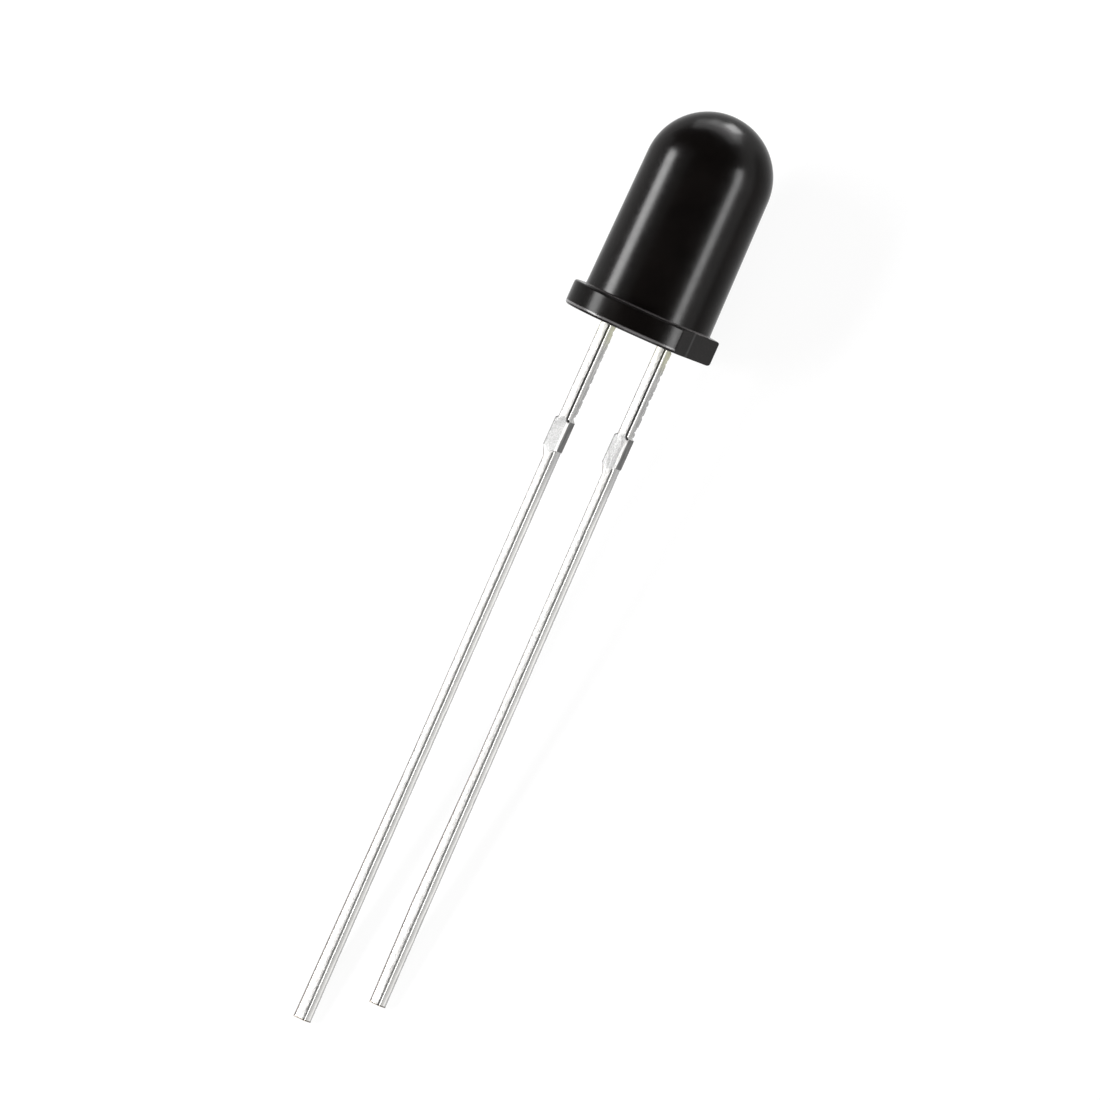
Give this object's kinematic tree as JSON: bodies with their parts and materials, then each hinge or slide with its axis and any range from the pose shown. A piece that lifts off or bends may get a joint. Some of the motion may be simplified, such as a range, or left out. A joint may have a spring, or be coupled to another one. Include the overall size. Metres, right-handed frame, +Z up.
{
  "type": "photodiode",
  "caption": "Round infrared photodiode: near-black epoxy body with a domed lens, a flange with a cathode flat, and long straight stamped leads.",
  "frame": {"origin": "centre of the flange's underside, which seats on a board, on the optical axis between the leads", "axes": "the part lies on a table as it comes to rest, on its flange's rim and both lead tips: +X runs from the lead tips to the dome, 5.5 degrees above it the optical axis, +Y is the anode's side, -Y the side of the flat and the cathode, +Z is up"},
  "size_m": [0.0369, 0.0055, 0.0059],
  "materials": {
    "dark_epoxy": "gloss",
    "tinned_steel": "satin",
    "silicon": "gloss",
    "silver_resin": "matte",
    "gold_wire": "polished"
  },
  "bodies": {
    "root": {"epoxy_body": "dark_epoxy", "anode_lead": "tinned_steel", "cathode_lead": "tinned_steel", "photodiode_chip": "silicon", "die_attach": "silver_resin", "bond_wire": "gold_wire"}
  },
  "joints": []
}
